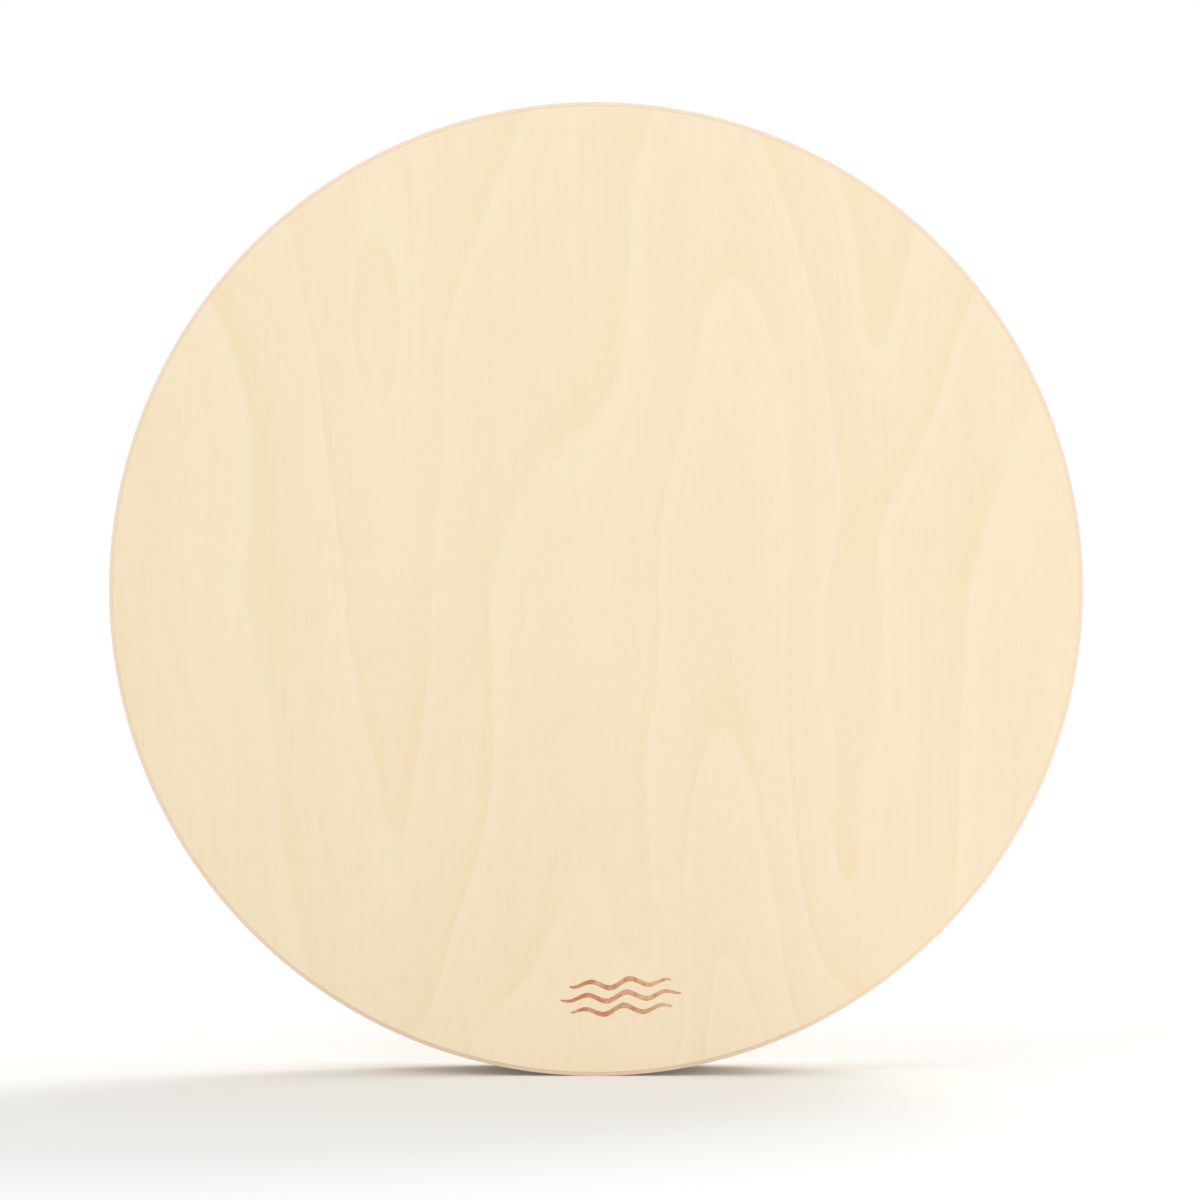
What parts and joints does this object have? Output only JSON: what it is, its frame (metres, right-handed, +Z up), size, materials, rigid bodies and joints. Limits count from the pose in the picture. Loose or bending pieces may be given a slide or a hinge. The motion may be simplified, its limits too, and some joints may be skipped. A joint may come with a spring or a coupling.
{
  "type": "ocean drum",
  "caption": "Shallow round drum with a plywood front and a clear film back, holding loose steel beads that roll round inside it with the sound of surf.",
  "frame": {"origin": "middle of the footprint, on the ground under the drum's axis", "axes": "+Z up, +X to the right as the wooden face is seen, +Y along the drum's axis from the wooden face to the film head"},
  "size_m": [0.4, 0.06, 0.4],
  "materials": {
    "face_veneer": "sanded birch veneer",
    "core_ply": "cut ply edge",
    "shell_ply": "bent birch ply",
    "trim_wood": "sanded birch strip",
    "clear_film": "clear film",
    "brass_pin": "plain",
    "steel_bead": "polished steel"
  },
  "bodies": {
    "drum": {"front_face_veneer": "face_veneer", "front_core_ply": "core_ply", "front_back_veneer": "face_veneer", "shell_outer_ply": "shell_ply", "shell_middle_ply": "shell_ply", "shell_inner_ply": "shell_ply", "front_glue_hoop": "shell_ply", "back_glue_hoop": "shell_ply", "film_head": "clear_film", "trim_hoop": "trim_wood", "hoop_pins": "brass_pin"},
    "beads_1": {"bead_lane_1": "steel_bead"},
    "beads_2": {"bead_lane_2": "steel_bead"},
    "beads_3": {"bead_lane_3": "steel_bead"},
    "beads_4": {"bead_lane_4": "steel_bead"},
    "beads_5": {"bead_lane_5": "steel_bead"},
    "beads_6": {"bead_lane_6": "steel_bead"},
    "beads_7": {"bead_lane_7": "steel_bead"},
    "beads_8": {"bead_lane_8": "steel_bead"},
    "beads_9": {"bead_lane_9": "steel_bead"},
    "beads_10": {"bead_lane_10": "steel_bead"}
  },
  "joints": [
    {"name": "beads_1_roll", "type": "hinge", "parent": "drum", "child": "beads_1", "pos_m": [0, 0, 0.2], "axis": [0, 1, 0], "continuous": true},
    {"name": "beads_2_roll", "type": "hinge", "parent": "drum", "child": "beads_2", "pos_m": [0, 0, 0.2], "axis": [0, 1, 0], "continuous": true},
    {"name": "beads_3_roll", "type": "hinge", "parent": "drum", "child": "beads_3", "pos_m": [0, 0, 0.2], "axis": [0, 1, 0], "continuous": true},
    {"name": "beads_4_roll", "type": "hinge", "parent": "drum", "child": "beads_4", "pos_m": [0, 0, 0.2], "axis": [0, 1, 0], "continuous": true},
    {"name": "beads_5_roll", "type": "hinge", "parent": "drum", "child": "beads_5", "pos_m": [0, 0, 0.2], "axis": [0, 1, 0], "continuous": true},
    {"name": "beads_6_roll", "type": "hinge", "parent": "drum", "child": "beads_6", "pos_m": [0, 0, 0.2], "axis": [0, 1, 0], "continuous": true},
    {"name": "beads_7_roll", "type": "hinge", "parent": "drum", "child": "beads_7", "pos_m": [0, 0, 0.2], "axis": [0, 1, 0], "continuous": true},
    {"name": "beads_8_roll", "type": "hinge", "parent": "drum", "child": "beads_8", "pos_m": [0, 0, 0.2], "axis": [0, 1, 0], "continuous": true},
    {"name": "beads_9_roll", "type": "hinge", "parent": "drum", "child": "beads_9", "pos_m": [0, 0, 0.2], "axis": [0, 1, 0], "continuous": true},
    {"name": "beads_10_roll", "type": "hinge", "parent": "drum", "child": "beads_10", "pos_m": [0, 0, 0.2], "axis": [0, 1, 0], "continuous": true}
  ]
}
